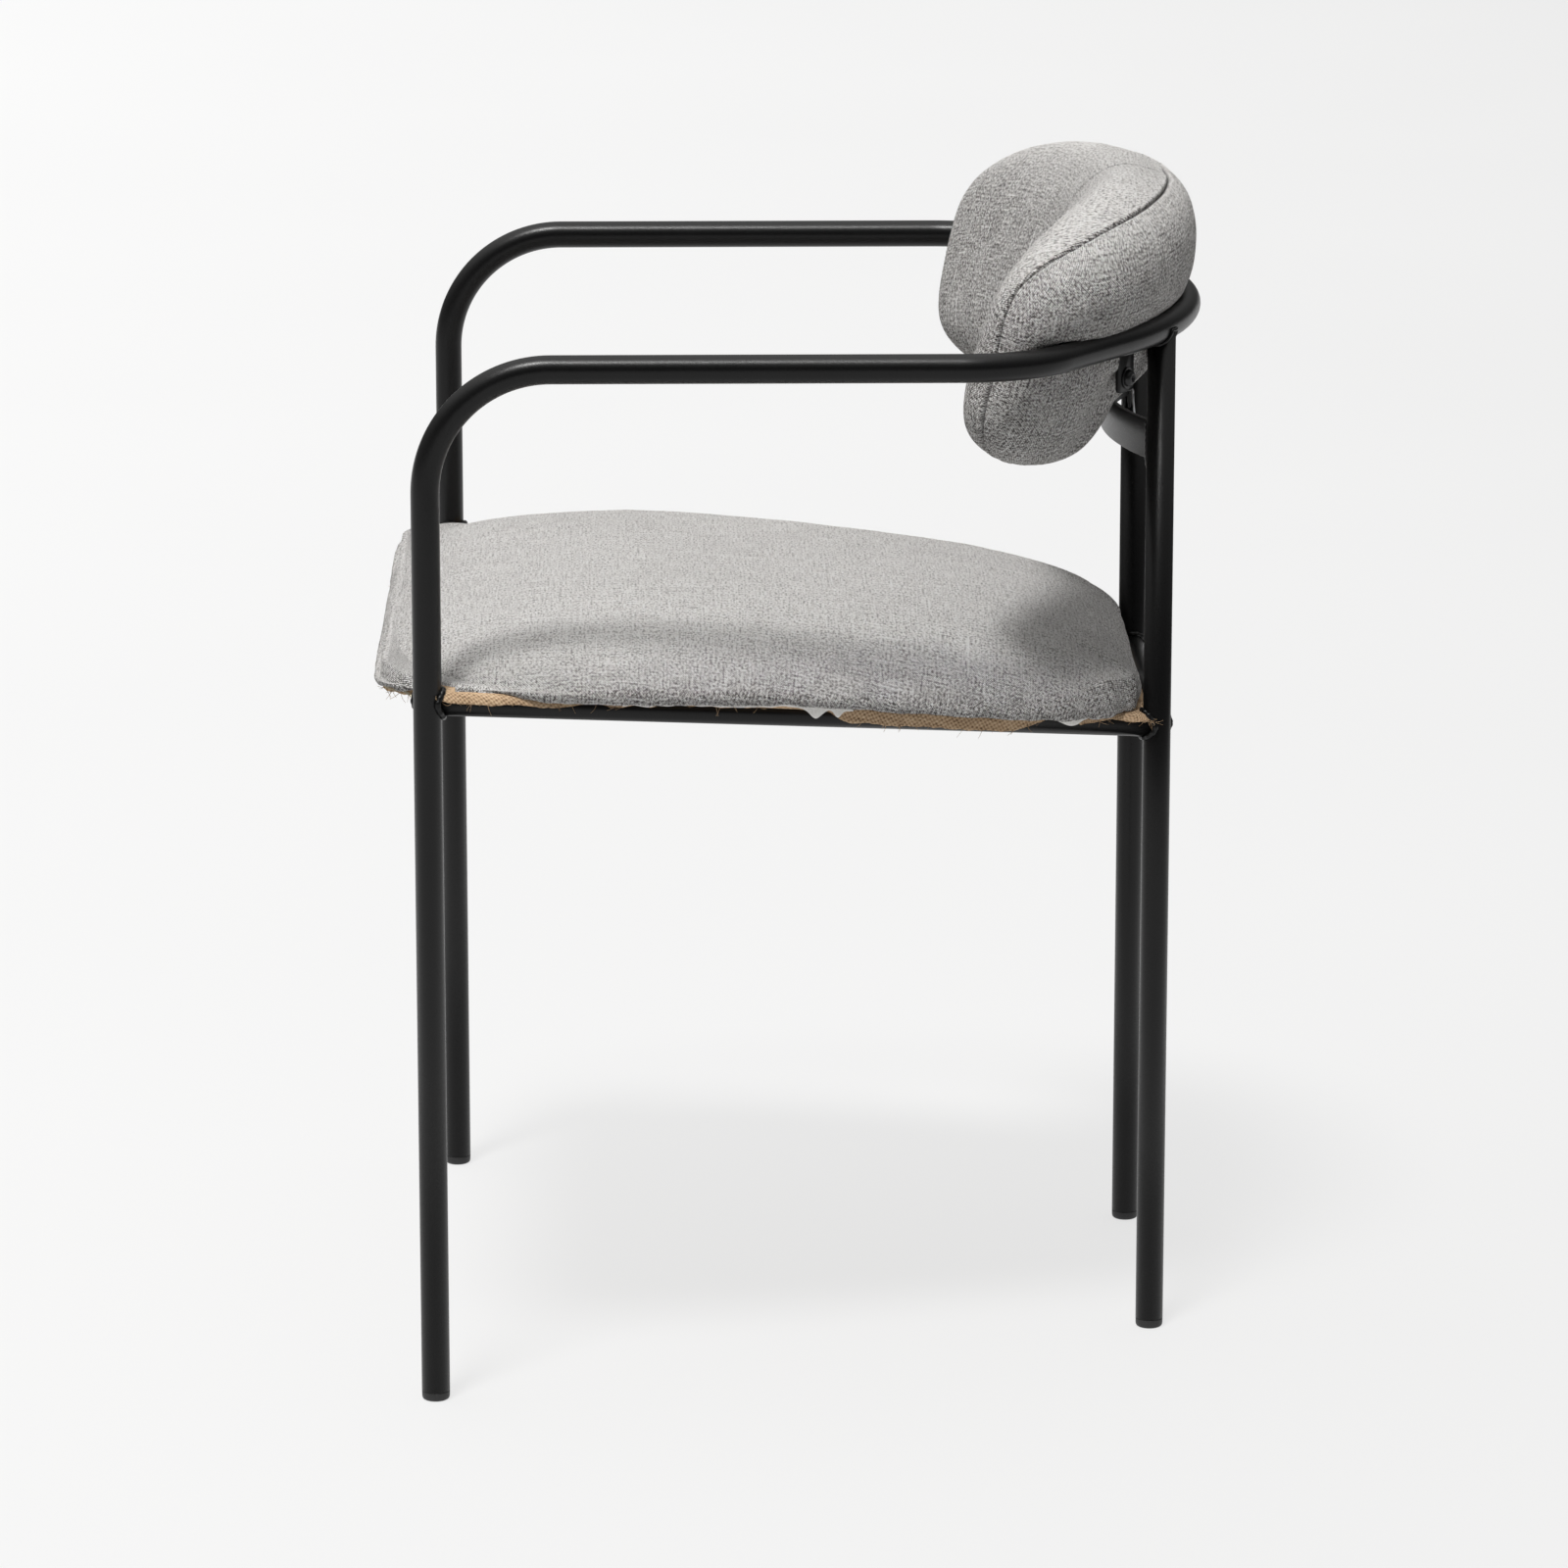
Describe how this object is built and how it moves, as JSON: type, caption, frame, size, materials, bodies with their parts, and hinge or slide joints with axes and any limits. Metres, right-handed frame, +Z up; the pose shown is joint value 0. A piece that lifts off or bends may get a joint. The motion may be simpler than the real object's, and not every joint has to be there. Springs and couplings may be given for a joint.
{
  "type": "dining armchair",
  "caption": "Dining armchair: one bent steel tube forms front legs, arms and back; padded seat on sloping rails, curved back cushion nested in the tube.",
  "frame": {"origin": "on the floor, under the middle of the chair's bounding box", "axes": "+Z up, -Y towards the front edge of the seat, +X towards the sitter's left"},
  "size_m": [0.538, 0.5331, 0.7555],
  "materials": {
    "frame_coat": "satin black powder coat with a fine texture",
    "linen": "light warm grey linen blend, slubby plain weave",
    "foam": "open-cell upholstery foam",
    "plywood": "bare birch plywood",
    "burlap": "coarse jute cloth",
    "glide_plastic": "moulded black, matte",
    "black_fastener": "black oxide steel",
    "zinc_insert": "zinc plated",
    "label_cloth": "plain white woven tape, blank"
  },
  "bodies": {
    "root": {"back_board": "plywood", "back_bolt_left": "black_fastener", "back_bolt_right": "black_fastener", "back_cover_front_left": "linen", "back_cover_front_right": "linen", "back_cover_rear": "linen", "back_foam_front": "foam", "back_foam_rear": "foam", "back_insert_left": "zinc_insert", "back_insert_right": "zinc_insert", "back_strap": "frame_coat", "back_tab_left": "frame_coat", "back_tab_right": "frame_coat", "back_washer_left": "black_fastener", "back_washer_right": "black_fastener", "care_label": "label_cloth", "foot_glide_front_left": "glide_plastic", "foot_glide_front_right": "glide_plastic", "foot_glide_rear_left": "glide_plastic", "foot_glide_rear_right": "glide_plastic", "loop_tube": "frame_coat", "rear_leg_left": "frame_coat", "rear_leg_right": "frame_coat", "seat_board": "plywood", "seat_bolt_front_left": "black_fastener", "seat_bolt_front_right": "black_fastener", "seat_bolt_rear_left": "black_fastener", "seat_bolt_rear_right": "black_fastener", "seat_burlap": "burlap", "seat_cover": "linen", "seat_foam": "foam", "seat_front_rail": "frame_coat", "seat_insert_front_left": "zinc_insert", "seat_insert_front_right": "zinc_insert", "seat_insert_rear_left": "zinc_insert", "seat_insert_rear_right": "zinc_insert", "seat_rail_left": "frame_coat", "seat_rail_right": "frame_coat", "seat_rear_rail": "frame_coat", "seat_tab_front_left": "frame_coat", "seat_tab_front_right": "frame_coat", "seat_tab_rear_left": "frame_coat", "seat_tab_rear_right": "frame_coat", "strap_screw_left": "black_fastener", "strap_screw_right": "black_fastener"}
  },
  "joints": []
}
